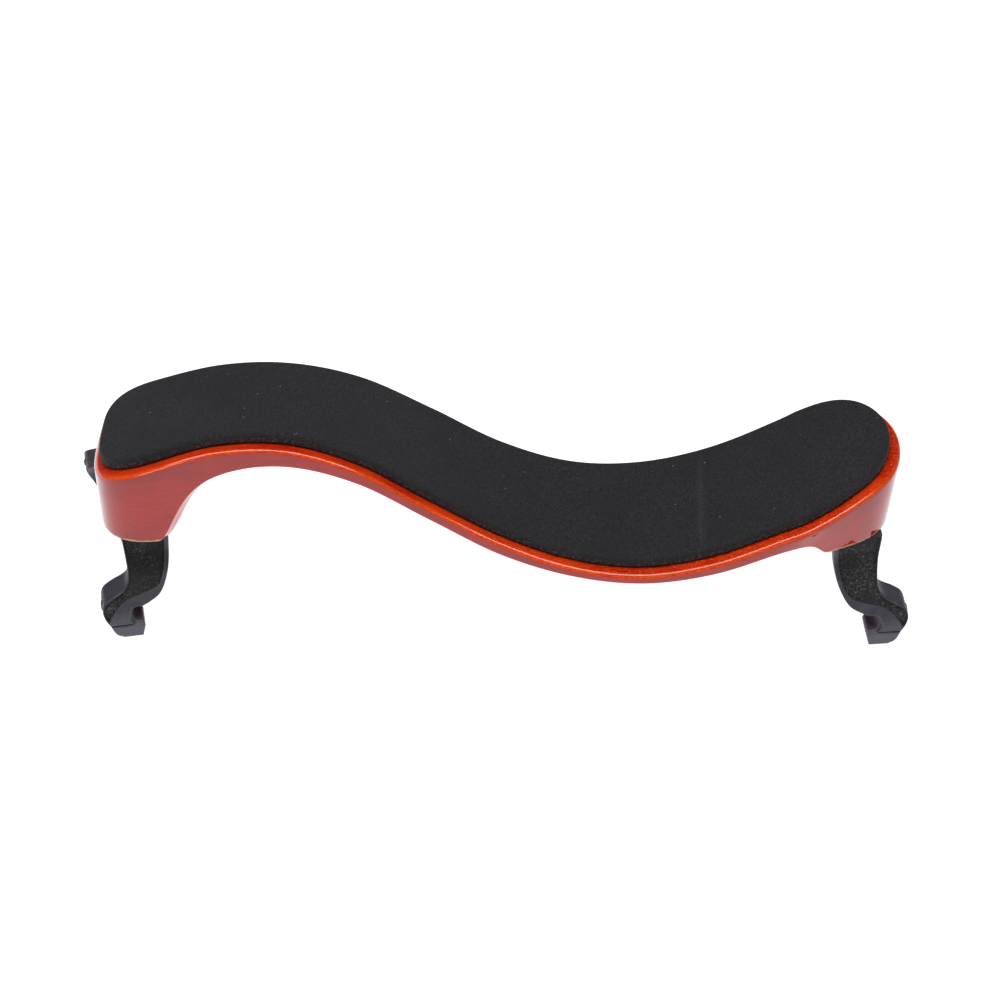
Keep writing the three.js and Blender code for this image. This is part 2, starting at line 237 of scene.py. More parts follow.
def block_weight(x, across):
    """1 on an end block and 0 away from it."""
    weight = 0
    for inner, corner, fillet in BLOCKS:
        beyond = np.maximum(0, np.sign(inner) * (inner + corner * across**4 - x))
        weight = np.maximum(weight, 1 / (1 + (beyond / fillet) ** 2))
    return weight


def bottom_height(x, y, across):
    own = top_height(x, y) - bar_at(x)[4] - UNDERSIDE_CROWN * (1 - across**2)
    return lerp(own, BLOCK_BOTTOM, block_weight(x, across))


def even_angles(end, spacing):
    """Angles round one side of an end, evenly spaced along its outline, the tip included and the start not."""
    angle = (1 - np.cos(np.linspace(0, math.pi, 3000))) * math.pi / 4
    across = start_half(end) * np.cos(angle) ** (2 / end["power"])
    along = end["length"] * np.sin(angle) ** (2 / end["power"])
    length = np.append(0, np.cumsum(np.hypot(np.diff(across), np.diff(along))))
    count = int(length[-1] / spacing)
    return np.interp(np.linspace(0, length[-1], count + 1)[1:], length, angle)


def loft(knots, spacing, height, stretch=0):
    """Points of a closed layer that follows the bar. knots is a table of hand, share of the half width, inset,
    and lean share. height gives z from x, y and the share across. stretch lengthens the shoulder end."""
    hand, share, inset, lean_share = (knots[:, k][None] for k in range(4))
    count = int((CHEST_END["start"] - SHOULDER_END["start"]) / spacing)
    rings = [(SHOULDER_END, angle) for angle in even_angles(SHOULDER_END, spacing)[::-1]]
    rings += [(None, x) for x in np.linspace(SHOULDER_END["start"], CHEST_END["start"], count)]
    rings += [(CHEST_END, angle) for angle in even_angles(CHEST_END, spacing)]
    rows = []
    for end, place in rings:
        if end is None:
            x = np.full(hand.shape, float(place))
            near = CHEST_END if place > 0 else SHOULDER_END
            half = bar_at(x)[2] - inset - lean_share * near["lean"] * block_weight(x, 0)
        else:
            sign = np.sign(end["length"])
            outside = end["start"] + end["length"] * math.sin(place) ** (2 / end["power"])
            leaning = lean_share * block_weight(np.array(outside), 0)
            power = 2 / lerp(end["power"], end["low_power"], leaning)
            wall = end["length"] - sign * (inset + leaning * end["tip_lean"])
            wall = wall * max(math.sin(place), 0) ** power
            half = start_half(end) - inset - leaning * end["lean"]
            half = half * max(math.cos(place), 0) ** power
            x = end["start"] + wall * lerp(SPINE_SHARE, 1, share)
            if end is SHOULDER_END:
                x = x + stretch * (x - end["start"]) / -end["length"]
        y = bar_at(x)[0] + hand * share * half
        across = np.where(share == 1, 1, np.minimum(1, np.abs(y - bar_at(x)[0]) / plan_half(x)))
        rows.append(np.stack([x, y, height(x, y, across)], -1)[0])
    points = np.array(rows)
    return points.reshape(-1, 3), grid_faces(len(rings), len(knots))


def both_hands(near):
    """A section's knots from one side's: the near side, then the far side back to the start."""
    far = near[1:-1][::-1].copy()
    near = near.copy()
    near[:, 0] = -1
    far[:, 0] = 1
    return np.vstack([near, far])


def carved_bar(material):
    """The maple bar with rounded edges, and bores for the threaded inserts."""
    # Each knot's last three values: its drop below the top, its lift above the bottom, and its row, which is 0
    # at the top and 1 at the bottom
    top = [(0, share, TOP_RADIUS, 0, 0, 0, 0) for share in np.linspace(0, 1, 14)]
    turn = np.radians(np.linspace(8, 90, 11))
    rounding = [(0, 1, TOP_RADIUS * (1 - math.sin(a)), 0, TOP_RADIUS * (1 - math.cos(a)), 0, 0) for a in turn]
    wall = [(0, 1, 0, row, TOP_RADIUS, LOW_RADIUS, row) for row in np.linspace(0, 1, 10)[1:]]
    turn = np.radians(np.linspace(15, 90, 6))
    low = [(0, 1, LOW_RADIUS * (1 - math.cos(a)), 1, 0, LOW_RADIUS * (1 - math.sin(a)), 1) for a in turn]
    under = [(0, share, LOW_RADIUS, 1, 0, 0, 1) for share in np.linspace(1, 0, 14)[1:]]
    near = np.array(top + rounding + wall + low + under)
    knots = both_hands(near)
    drop, lift, row = (knots[:, k][None] for k in (4, 5, 6))

    def height(x, y, across):
        return lerp(top_height(x, y) - drop, bottom_height(x, y, across) + lift, row)

    points, faces = loft(knots, 0.6, height)
    rings = len(points) // len(knots)
    middle = bar_at(points[:, 0])[0]
    across = np.minimum(1, np.abs(points[:, 1] - middle) / plan_half(points[:, 0]))
    rounded = drop[0] / TOP_RADIUS
    # edge is 1 on the top rounding, where the varnish paints wear and a painted highlight.
    edge = np.tile(smoothstep(0.02, 0.2, rounded) * smoothstep(0.8, 0.45, rounded), rings)
    # top_face picks the ledge, which the varnish paints lighter than the walls: lit and shaded copies of one
    # varnish.
    top_face = np.tile(smoothstep(0.85, 0.4, rounded), rings)
    piece = new_piece(
        "carved_maple_bar", points + SHIFT, faces, "rest", material, ["maple_body"],
        {"block": block_weight(points[:, 0], across), "edge": edge, "top": top_face},
    )
    for end in ENDS.values():
        axis = np.array([end["x"], end["y"], 0]) + SHIFT
        bore(piece, axis, INSERT_BORE_RADIUS, BLOCK_BOTTOM - 1, INSERT_BORE_TOP)
    return piece


def bore(piece, axis, radius, bottom, top):
    """Cuts an upright round hole."""
    points, faces = lathe([(0, bottom), (radius, bottom), (radius, top), (0, top)], 64)
    cutter = add_object("cutter", closed_mesh("cutter", points + axis, faces))
    cut = piece.modifiers.new("bore", "BOOLEAN")
    cut.operation = "DIFFERENCE"
    cut.object = cutter
    apply_modifiers(piece)
    bpy.data.objects.remove(cutter)


def apply_modifiers(piece):
    """Replaces the piece's mesh by what its modifiers make."""
    graph = bpy.context.evaluated_depsgraph_get()
    made = bpy.data.meshes.new_from_object(piece.evaluated_get(graph))
    piece.modifiers.clear()
    old = piece.data
    piece.data = made
    bpy.data.meshes.remove(old)


def layer_knots(inset, radius, shares):
    """The near side's knots of a layer: a rounded top edge and a square lower one."""
    top = [(0, share, inset + radius, 0, 0, 0) for share in np.linspace(0, 1, shares)]
    turn = np.radians(np.linspace(12, 90, 7))
    rounding = [(0, 1, inset + radius * (1 - math.sin(a)), 0, radius * (1 - math.cos(a)), 0) for a in turn]
    wall = [(0, 1, inset, 0, radius, row) for row in np.linspace(0, 1, 4)[1:]]
    under = [(0, share, inset, 0, 0, 1) for share in np.linspace(1, 0, shares)[1:]]
    return np.array(top + rounding + wall + under)


def crease_at(x, y):
    """1 along the faint crease across the pad, and 0 away from it."""
    along = smoothstep(-32, -24, y) * smoothstep(14, 0, y)
    return np.exp(-(((x - CREASE_X - 0.04 * y) / 0.8) ** 2)) * along


def layer(name, node, material, bottom, top, inset, radius, spacing, shares):
    """A layer that follows the bar's top, between two heights above it."""
    knots = both_hands(layer_knots(inset, radius, shares))
    drop, row = knots[:, 4][None], knots[:, 5][None]

    def height(x, y, across):
        return top_height(x, y) + lerp(top - drop - CREASE_DEPTH * crease_at(x, y), bottom, row)

    points, faces = loft(knots, spacing, height, PAD_STRETCH)
    rings = len(points) // len(knots)
    attributes = {"crease": crease_at(points[:, 0], points[:, 1]), "foot": np.tile(row[0], rings)}
    return new_piece(name, points + SHIFT, faces, "rest", material, [node], attributes)


# ---- Shapes from distance fields ----


def smooth_max(a, b, width):
    blend = np.maximum(width - np.abs(a - b), 0) / width
    return np.maximum(a, b) + blend * blend * width / 4


def smooth_min(a, b, width):
    return -smooth_max(-a, -b, width)


def curve(points, steps=6):
    """Points on a smooth curve through the given ones."""
    points = np.array(points, float)
    padded = np.vstack([2 * points[0] - points[1], points, 2 * points[-1] - points[-2]])
    made = []
    for a, b, c, d in zip(padded, padded[1:], padded[2:], padded[3:]):
        for t in np.arange(steps) / steps:
            square = (2 * a - 5 * b + 4 * c - d) * t**2
            cube = (3 * b - a - 3 * c + d) * t**3
            made.append(0.5 * (2 * b + (c - a) * t + square + cube))
    return np.array(made + [points[-1]])


def outline_distance(outline, x, z):
    """Signed distance to a closed outline in x and z, negative inside."""
    x, z = np.broadcast_arrays(x, z)
    nearest = np.full(x.shape, np.inf)
    inside = np.zeros(x.shape, bool)
    for (ax, az), (bx, bz) in zip(outline, np.roll(outline, -1, axis=0)):
        dx, dz = bx - ax, bz - az
        along = np.clip(((x - ax) * dx + (z - az) * dz) / (dx * dx + dz * dz + 1e-12), 0, 1)
        nearest = np.minimum(nearest, (x - ax - along * dx) ** 2 + (z - az - along * dz) ** 2)
        if az != bz:
            inside ^= ((az > z) != (bz > z)) & (x < dx * (z - az) / dz + ax)
    return np.sqrt(nearest) * np.where(inside, -1, 1)


def surface(field, low, high, step):
    """The zero surface of field(x, y, z) in a box: one point in each cell that it crosses, and quads."""
    axes = [np.arange(a, b + step, step) for a, b in zip(low, high)]
    values = field(axes[0][:, None, None], axes[1][None, :, None], axes[2][None, None, :])
    inside = values < 0
    corners = np.array([(i, j, k) for i in (0, 1) for j in (0, 1) for k in (0, 1)])
    cells = [size - 1 for size in values.shape]
    views = [inside[i:i + cells[0], j:j + cells[1], k:k + cells[2]] for i, j, k in corners]
    crossed = np.any(views, axis=0) & ~np.all(views, axis=0)
    index = np.full(crossed.shape, -1)
    where = np.argwhere(crossed)
    index[crossed] = np.arange(len(where))
    at = [values[tuple((where + corner).T)] for corner in corners]
    total = np.zeros((len(where), 3))
    number = np.zeros((len(where), 1))
    for a in range(8):
        for b in range(a + 1, 8):
            if np.abs(corners[a] - corners[b]).sum() != 1:
                continue
            hit = (at[a] < 0) != (at[b] < 0)
            share = at[a][hit] / (at[a][hit] - at[b][hit])
            total[hit] += corners[a] + (corners[b] - corners[a]) * share[:, None]
            number[hit] += 1
    points = np.array(low) + (where + total / number) * step
    faces = []
    for axis in range(3):
        ahead = np.moveaxis(inside, axis, 0)
        change = np.moveaxis(ahead[1:] != ahead[:-1], 0, axis)
        edges = np.argwhere(change)
        u, v = np.eye(3, dtype=int)[(axis + 1) % 3], np.eye(3, dtype=int)[(axis + 2) % 3]
        edges = edges[np.all(edges >= u + v, axis=1) & np.all(edges < cells, axis=1)]
        ring = [index[tuple((edges - back).T)] for back in (0 * u, u, u + v, v)]
        faces.append(np.stack(ring, -1))
    return settle(field, points, step), np.vstack(faces)


def settle(field, points, step):
    """Moves points onto the field's zero surface."""
    nudge = 0.02
    for _ in range(3):
        x, y, z = points.T
        here = field(x, y, z)
        slope = np.stack(
            [
                field(x + nudge, y, z) - field(x - nudge, y, z),
                field(x, y + nudge, z) - field(x, y - nudge, z),
                field(x, y, z + nudge) - field(x, y, z - nudge),
            ],
            -1,
        ) / (2 * nudge)
        size = np.maximum((slope**2).sum(1), 0.2)
        move = -slope * (here / size)[:, None] * 0.8
        far = np.maximum(np.linalg.norm(move, axis=1), 1e-9)[:, None]
        points = points + move * np.minimum(1, 0.4 * step / far)
    return points


# ---- The forks ----

# Outlines in x and z
LEG_INNER = curve([(-5.2, 31), (-5, 23.5), (-4.4, 18.8), (-2.9, 15.2), (-0.9, 12.7), (2, 11.2), (4.3, 10.3)])
LEG_OUTER = curve([
    (14.1, 4.75), (15.3, 7.4), (15.8, 9.8), (15, 11.7), (12.5, 13), (9.7, 14.2),
    (8.1, 15.6), (7.5, 17.8), (8, 24.5), (8.5, 31),
])
CHEEK_JAW = curve([(4.5, 10.3), (6.1, 10.3), (7.4, 9.7), (8, 8.4), (8, 6.4), (7.4, 5.2), (6.6, 4.75)])
PRONG = np.vstack([LEG_INNER, CHEEK_JAW[1:], LEG_OUTER])
RAISED = np.vstack([(-5.2, 38), PRONG, (9.6, 38)])
LOWER_JAW = np.vstack([(4.9, 0), curve([(10.4, 0), (12.6, 1.4), (14, 4.6)]), (4.5, 4.6), (4.1, 3.6)])
LINING = np.vstack([
    [(4.8, 3.8), (9.4, 3.8), (9.4, 12.2), (4.3, 12.2), (4.3, 10.3), (4.7, 10)],
    curve([(5.9, 10), (7.1, 9.5), (7.7, 8.3), (7.7, 6.5), (7.1, 5.3), (5.9, 4.8)]),
    (4.8, 4.8),
])
LINER_WIDTH = 0.72  # of the claw's thickness
# The line where the sandy recess ends above the knee, and the middles of the ring mark and the dent in it
RIDGE = np.array([
    (-6, 17.3), (-3.4, 16), (-1.2, 15), (1.5, 14.1), (4.1, 13.5), (6.5, 13.1), (8.6, 12.5), (10.6, 11.4),
    (12.4, 9.9), (13.6, 8.2), (14.4, 6.2), (15, 4.4), (20, 4.4),
])
MARK = (3.2, 17.6)
DENT = (5.2, 24.6)


def reach_at(z):
    return lerp(CLAW_REACH, LEG_REACH, smoothstep(SPLAY[1], SPLAY[0], z))


def thickness_at(z):
    return lerp(CLAW_THICKNESS, LEG_THICKNESS, smoothstep(THICKENING[1], THICKENING[0], z))


def off_middle(y, z, hand):
    """The distance from the middle of a prong's thickness."""
    return np.abs(hand * y - reach_at(z) + thickness_at(z) / 2)


def face_steepness(z):
    """How much longer the slanted outer face is than its height."""
    slope = (reach_at(z + 0.1) - reach_at(z - 0.1)) / 0.2
    return np.sqrt(1 + slope**2)


def recess_field(x, y, z, hand):
    """Negative in the recess of a leg's outer face and over its knee."""
    plan = outline_distance(RAISED, x, z)
    outer = (reach_at(z) - hand * y) / face_steepness(z)
    ridge = (np.interp(x, RIDGE[:, 0], RIDGE[:, 1]) - z) * 0.8
    outer_side = smoothstep(1.5, 4.5, x)
    mark = np.hypot(x - MARK[0], z - MARK[1])
    dent = np.hypot(x - DENT[0], z - DENT[1])
    depth = RECESS_DEPTH - 0.3 * np.exp(-(((mark - 1.2) / 0.26) ** 2)) + 0.35 * smoothstep(0.9, 0.4, dent)
    border = lerp(FLANGE, LIP, outer_side)
    return smooth_max(outer - depth, smooth_max(plan + border, ridge, 0.4), 0.35)


def groove_field(x, y, z, hand):
    """Negative in the fine groove under the ridge, on a claw's outer face."""
    plan = outline_distance(PRONG, x, z)
    outer = np.abs(reach_at(z) - hand * y)
    extent = np.maximum(outer - 0.22, np.maximum(9 - x, 7.5 - z))
    return smooth_max(np.abs(plan + 1.35) - 0.2, extent, 0.1)


def prong_field(x, y, z, hand):
    plan = outline_distance(PRONG, x, z)
    side = (off_middle(y, z, hand) - thickness_at(z) / 2) / face_steepness(z)
    return smooth_max(plan, side, 0.7)


def slot_field(x, y, z, hand):
    """Negative in the slot through the knee, where the rubber's barb comes out."""
    across = off_middle(y, z, hand) - 0.35 * thickness_at(z) / 2
    return smooth_max(smooth_max(np.abs(z - BARB_HEIGHT) - 1.5, across, 0.5), 9 - x, 0.3)


def pocket_field(x, y, z, hand):
    """Negative in the pocket between a prong's two cheeks, which the rubber's lining fills."""
    across = off_middle(y, z, hand) - LINER_WIDTH * thickness_at(z) / 2 - 0.1
    return np.maximum(np.maximum(np.abs(x - 6.8) - 2.75, across), np.maximum(3.5 - z, z - 12.4))


def fork_field(x, y, z):
    """A fork: its bar and boss, two prongs, and what is cut out of them."""
    hub = smooth_max(np.abs(x - 1.9) - 6.5, np.abs(z - 28.6) - 2.1, 0.8)
    hub = smooth_max(hub, np.abs(y) - 22.8, 0.8)
    boss = smooth_max(np.hypot(x, y) - BOSS_RADIUS, BOSS_BOTTOM - z, 1.0)
    body = smooth_min(hub, boss, 2.4)
    for hand in (-1, 1):
        body = smooth_min(body, prong_field(x, y, z, hand), 1.6)
    body = smooth_max(body, z - FORK_TOP, 0.3)
    for hand in (-1, 1):
        body = smooth_max(body, -recess_field(x, y, z, hand), 0.3)
        body = smooth_max(body, -groove_field(x, y, z, hand), 0.15)
        body = smooth_max(body, -slot_field(x, y, z, hand), 0.3)
        body = smooth_max(body, -pocket_field(x, y, z, hand), 0.15)
    radius = np.hypot(x, y)
    for size, low, high in HUB_HOLES:
        hole = np.maximum(radius - size, np.maximum(low - z, z - high))
        body = smooth_max(body, -hole, 0.3)
    return body


def claw_field(hand):
    """The rubber claw pad's field: its lower jaw, the lining between the prong's cheeks, and the barb."""

    def field(x, y, z):
        thickness = thickness_at(z)
        across = np.abs(y - hand * (reach_at(z) - thickness / 2))
        jaw = smooth_max(outline_distance(LOWER_JAW, x, z), across - thickness / 2, 0.7)
        lining = smooth_max(outline_distance(LINING, x, z), across - LINER_WIDTH * thickness / 2, 0.3)
        barb = smooth_max(np.abs(z - BARB_HEIGHT) - 1.25, across - 1.2, 0.7)
        barb = smooth_max(barb, np.maximum(8.6 - x, x - 16.15 + 0.12 * (z - BARB_HEIGHT) ** 2), 0.7)
        return smooth_min(smooth_min(jaw, lining, 0.2), barb, 0.3)

    return field


def placed(points, end):
    """Points in a fork's own frame, moved to the row frame."""
    turn = math.radians(end["turn"])
    x, y, z = points.T
    turned = np.stack([x * math.cos(turn) - y * math.sin(turn), x * math.sin(turn) + y * math.cos(turn), z], -1)
    return turned + np.array([end["x"], end["y"], 0]) + SHIFT


# ---- Turned and threaded hardware ----


def lathe(outline, sides):
    """A turned shape about z from pairs of radius and height, in the fork's own frame."""
    outline = np.array(outline, float)
    angle = np.linspace(0, 2 * math.pi, sides, endpoint=False)
    x = outline[:, 0][:, None] * np.cos(angle)
    y = outline[:, 0][:, None] * np.sin(angle)
    z = np.repeat(outline[:, 1][:, None], sides, axis=1)
    return np.stack([x, y, z], -1).reshape(-1, 3), grid_faces(len(outline), sides)


def ring_outline(inner, outer, bottom, top, edge):
    """A bush's closed outline with bevelled edges."""
    return [
        (inner + edge, bottom), (outer - edge, bottom), (outer, bottom + edge), (outer, top - edge),
        (outer - edge, top), (inner + edge, top), (inner, top - edge), (inner, bottom + edge),
        (inner + edge, bottom),
    ]


def threaded_screw(sides=48):
    """An M6 x 1 screw with a helical thread above its collar."""
    plain = [
        (0, 22.5), (2.5, 22.5), (2.9, 22.9), (2.9, 28.3),
        (5.8, 28.4), (6, 28.6), (6, 29.2), (5.8, 29.4), (2.7, 29.5),
    ]
    angle = np.linspace(0, 2 * math.pi, sides, endpoint=False)
    radius = [np.full(sides, float(r)) for r, _ in plain]
    height = [np.full(sides, float(z)) for _, z in plain]
    for z in np.arange(THREAD_BOTTOM, THREAD_TOP, 0.1):
        phase = (z / PITCH - angle / (2 * math.pi)) % 1
        crest = np.clip(1.25 - np.abs(phase - 0.5) * 3.2, 0, 1)
        fade = smoothstep(THREAD_BOTTOM, 30.6, z) * smoothstep(THREAD_TOP, 42.0, z)
        radius.append(ROOT_RADIUS + (THREAD_RADIUS - ROOT_RADIUS) * crest * fade)
        height.append(np.full(sides, z))
    radius.append(np.zeros(sides))
    height.append(np.full(sides, 43.0))
    radius, height = np.array(radius), np.array(height)
    points = np.stack([radius * np.cos(angle), radius * np.sin(angle), height], -1).reshape(-1, 3)
    return points, grid_faces(len(radius), sides)


def nut_field(x, y, z):
    """A hexagonal nut with its corners turned off and its bore countersunk."""
    apothem = NUT_RADIUS * math.cos(math.radians(30))
    sides = [np.abs(x * math.cos(a) + y * math.sin(a)) - apothem for a in np.radians([0, 60, 120])]
    radius = np.hypot(x, y)
    off_centre = np.abs(z - NUT_MIDDLE)
    cone = radius - 5.35 - (NUT_HALF_HEIGHT - off_centre) * 1.7
    body = np.max(np.broadcast_arrays(*sides), axis=0)
    body = np.maximum(body, np.maximum(off_centre - NUT_HALF_HEIGHT, cone * 0.5))
    hole = radius - NUT_BORE - np.maximum(0, off_centre - 1.2)
    return smooth_max(body, -hole, 0.1)


# ---- Materials ----


class Finish:
    """A material's node tree round one Principled shader. Positions are in millimetres on the piece."""

    def __init__(self, name, **inputs):
        self.material = bpy.data.materials.new(name)
        self.material.use_nodes = True
        self.tree = self.material.node_tree
        self.tree.nodes.clear()
        output = self.add("ShaderNodeOutputMaterial")
        self.shader = self.add("ShaderNodeBsdfPrincipled", inputs)
        self.tree.links.new(self.shader.outputs["BSDF"], output.inputs["Surface"])
        coordinates = self.add("ShaderNodeTexCoord").outputs["Object"]
        self.position = self.vector("MULTIPLY", coordinates, (1000, 1000, 1000))

    def add(self, kind, inputs=None, **settings):
        node = self.tree.nodes.new(kind)
        for key, value in settings.items():
            setattr(node, key, value)
        for key, value in (inputs or {}).items():
            if isinstance(value, bpy.types.NodeSocket):
                self.tree.links.new(value, node.inputs[key])
            else:
                node.inputs[key].default_value = value
        return node

    def set(self, key, value):
        self.tree.links.new(value, self.shader.inputs[key])

    def vector(self, operation, a, b):
        return self.add("ShaderNodeVectorMath", {0: a, 1: b}, operation=operation).outputs[0]

    def noise(self, scale, detail=2.0, roughness=0.5, stretch=(1, 1, 1)):
        """Noise from 0 to 1, with scale features in a millimetre."""
        place = self.vector("MULTIPLY", self.position, stretch)
        inputs = {"Vector": place, "Scale": scale, "Detail": detail, "Roughness": roughness}
        return self.add("ShaderNodeTexNoise", inputs).outputs["Fac"]

    def cells(self, scale, output="Distance"):
        return self.add("ShaderNodeTexVoronoi", {"Vector": self.position, "Scale": scale}).outputs[output]

    def attribute(self, name):
        return self.add("ShaderNodeAttribute", attribute_name=name).outputs["Fac"]

    def math(self, operation, a, b):
        return self.add("ShaderNodeMath", {0: a, 1: b}, operation=operation).outputs[0]

    def span(self, value, low, high, to_low=0.0, to_high=1.0):
        """value carried smoothly from one range to another, and held at its ends."""
        inputs = {"Value": value, "From Min": low, "From Max": high, "To Min": to_low, "To Max": to_high}
        return self.add("ShaderNodeMapRange", inputs, interpolation_type="SMOOTHSTEP").outputs["Result"]

    def mix(self, share, a, b):
        """A colour between a and b."""
        node = self.add("ShaderNodeMix", data_type="RGBA")
        for key, value in ((0, share), (6, a), (7, b)):
            if isinstance(value, bpy.types.NodeSocket):
                self.tree.links.new(value, node.inputs[key])
            else:
                node.inputs[key].default_value = value if key == 0 else (*value, 1)
        return node.outputs[2]

    def bump(self, height, depth):
        """Bump of a depth in millimetres."""
        inputs = {"Height": height, "Strength": 1.0, "Distance": depth * MM}
        self.set("Normal", self.add("ShaderNodeBump", inputs).outputs["Normal"])


def varnished_maple():
    """Red-orange varnish: walls painted darker than the ledge as painted shade, a ledge with grain, painted
    light patches and fleck figure painted as glints, edges lighter from wear and a painted highlight, and bare
    wood low on the blocks."""
    coating = {"Coat Weight": 1.0, "Coat Roughness": 0.03, "Coat IOR": 1.5, "Specular IOR Level": 0.03}
    finish = Finish("varnished_maple", **coating)
    grain = finish.noise(1.5, 4, 0.65, (0.07, 1, 1))
    cloud = finish.noise(0.09, 3, 0.5, (0.5, 1, 1))
    fleck = finish.noise(3.4, 3, 0.75, (0.3, 1, 1))
    top = finish.attribute("top")
    # The walls carry the same varnish as the ledge, painted darker as painted shade on faces turned from the
    # top light.
    wall = finish.mix(finish.span(grain, 0.3, 0.72), (0.33, 0.009, 0.0035), (0.42, 0.013, 0.0045))
    wall = finish.mix(finish.span(cloud, 0.42, 0.68, 0, 0.6), wall, (0.23, 0.01, 0.0045))
    ledge = finish.mix(finish.span(grain, 0.34, 0.68), (0.36, 0.006, 0.0015), (0.56, 0.022, 0.003))
    # Brighter orange patches on the ledge are painted light, as where the top light falls.
    ledge = finish.mix(finish.span(cloud, 0.4, 0.66, 0, 0.5), ledge, (0.7, 0.055, 0.005))
    colour = finish.mix(top, wall, ledge)
    along = finish.add("ShaderNodeSeparateXYZ", {0: finish.position}).outputs["X"]
    # Bright orange flecks: painted glints on the maple's fleck figure, nearly all on the lit top face and more
    # towards the chest end.
    towards_chest = finish.span(along, -60, 40, 0.3, 0.9)
    glint_share = finish.math("MULTIPLY", finish.span(top, 0, 1, 0.04, 1.0), towards_chest)
    fleck_glints = finish.math("MULTIPLY", finish.span(fleck, 0.55, 0.68), glint_share)
    colour = finish.mix(fleck_glints, colour, (0.95, 0.2, 0.025))
    # Lighter orange along the top edges' rounding: partly varnish worn thin, partly a painted highlight.
    edge = finish.math("MULTIPLY", finish.attribute("edge"), finish.span(fleck, 0.35, 0.6, 0.1, 0.6))
    colour = finish.mix(edge, colour, (0.85, 0.11, 0.012))
    height = finish.add("ShaderNodeSeparateXYZ", {0: finish.position}).outputs["Z"]
    ragged = finish.math("ADD", height, finish.span(finish.noise(0.7, 3), 0.3, 0.7, -0.22, 0.22))
    on_block = finish.span(finish.attribute("block"), 0.97, 0.998)
    band = finish.math("MULTIPLY", finish.span(ragged, 31.95, 31.6), on_block)
    strips = finish.span(finish.noise(1.1, 4, 0.6, (0.1, 1, 1)), 0.3, 0.7)
    bare = finish.mix(strips, (0.62, 0.4, 0.22), (0.46, 0.26, 0.12))
    finish.set("Base Color", finish.mix(band, colour, bare))
    finish.set("Roughness", finish.span(grain, 0.3, 0.7, 0.28, 0.42))
    finish.set("Coat Weight", finish.span(band, 0, 1, 1.0, 0.15))
    waves = finish.noise(0.16, 2, 0.5)
    orange_peel = finish.noise(1.0, 2, 0.5)
    surface_height = finish.math("ADD", waves, finish.math("MULTIPLY", orange_peel, 0.05))
    finish.bump(surface_height, 0.05)
    coat = finish.add("ShaderNodeBump", {"Height": surface_height, "Strength": 1.0, "Distance": 0.03 * MM})
    finish.set("Coat Normal", coat.outputs["Normal"])
    return finish.material


def foam():
    """Black foam with fine grain, a rubbed crease, scattered lint, and dust along its foot."""
    finish = Finish("pad_foam", **{"Sheen Weight": 0.05, "Sheen Roughness": 0.5, "Specular IOR Level": 0.12})
    grain = finish.noise(1.7, 5, 0.75)
    cloud = finish.noise(0.05, 3, 0.6)
    colour = finish.mix(finish.span(grain, 0.3, 0.72), (0.0095, 0.0095, 0.0108), (0.038, 0.038, 0.0415))
    colour = finish.mix(finish.span(cloud, 0.35, 0.7, 0, 0.4), colour, (0.0155, 0.0165, 0.018))
    rubbed = finish.math("MULTIPLY", finish.attribute("crease"), finish.span(grain, 0.3, 0.7, 0.15, 0.6))
    colour = finish.mix(rubbed, colour, (0.045, 0.047, 0.05))
    spot = finish.cells(0.33)
    chance = finish.add("ShaderNodeSeparateXYZ", {0: finish.cells(0.33, output="Color")}).outputs["X"]
    lint = finish.math("MULTIPLY", finish.span(spot, 0.07, 0.03), finish.span(chance, 0.72, 0.76))
    colour = finish.mix(lint, colour, (0.3, 0.3, 0.28))
    near_foot = finish.span(finish.attribute("foot"), 0.3, 1, 0, 0.8)
    dust = finish.math("MULTIPLY", near_foot, finish.span(grain, 0.5, 0.62))
    finish.set("Base Color", finish.mix(dust, colour, (0.16, 0.12, 0.08)))
    finish.set("Roughness", finish.span(grain, 0.2, 0.8, 0.84, 0.98))
    pores = finish.cells(2.6)
    height = finish.math("ADD", grain, finish.math("MULTIPLY", pores, 0.35))
    finish.bump(height, 0.13)
    return finish.material


def film():
    # The adhesive sheet is coloured dark grey and set in further than the pad, so it shows as painted shade in
    # the gap under the pad's edge.
    finish = Finish("adhesive_film")
    mottle = finish.noise(1.2, 3)
    colour = finish.mix(finish.span(mottle, 0.3, 0.7), (0.012, 0.011, 0.011), (0.03, 0.025, 0.022))
    finish.set("Base Color", colour)
    finish.set("Roughness", finish.span(mottle, 0.3, 0.7, 0.5, 0.7))
    finish.bump(mottle, 0.03)
    return finish.material


def plastic():
    """Smooth black plastic, with darker sand-textured plastic in the legs' recesses, where pale specks are
    partly dust and partly painted glints.
    """
    finish = Finish("fork_plastic", **{"Specular IOR Level": 0.4})
    rough_face = finish.attribute("recess")
    sand = finish.noise(3.2, 3, 0.7)
    sparks = finish.noise(1.6, 5, 0.8)
    tone = finish.span(finish.noise(0.3, 3), 0.3, 0.7)
    colour = finish.mix(tone, (0.036, 0.036, 0.046), (0.052, 0.052, 0.066))
    # Pale specks in clumps on the recesses: painted glints on the sand texture, partly dust.
    clumps = finish.span(finish.noise(0.16, 2), 0.42, 0.6, 0.3, 1.0)
    dust = finish.math("MULTIPLY", rough_face, finish.math("MULTIPLY", finish.span(sparks, 0.48, 0.66), clumps))
    colour = finish.mix(rough_face, colour, (0.0055, 0.0053, 0.0062))
    finish.set("Base Color", finish.mix(dust, colour, (0.12, 0.12, 0.125)))
    smooth_side = finish.span(finish.noise(0.8, 3), 0.3, 0.7, 0.4, 0.5)
    finish.set("Roughness", finish.math("ADD", smooth_side, finish.math("MULTIPLY", rough_face, 0.22)))
    texture = finish.math("MULTIPLY", sand, finish.span(rough_face, 0, 1, 0.12, 1.0))
    finish.bump(texture, 0.22)
    return finish.material


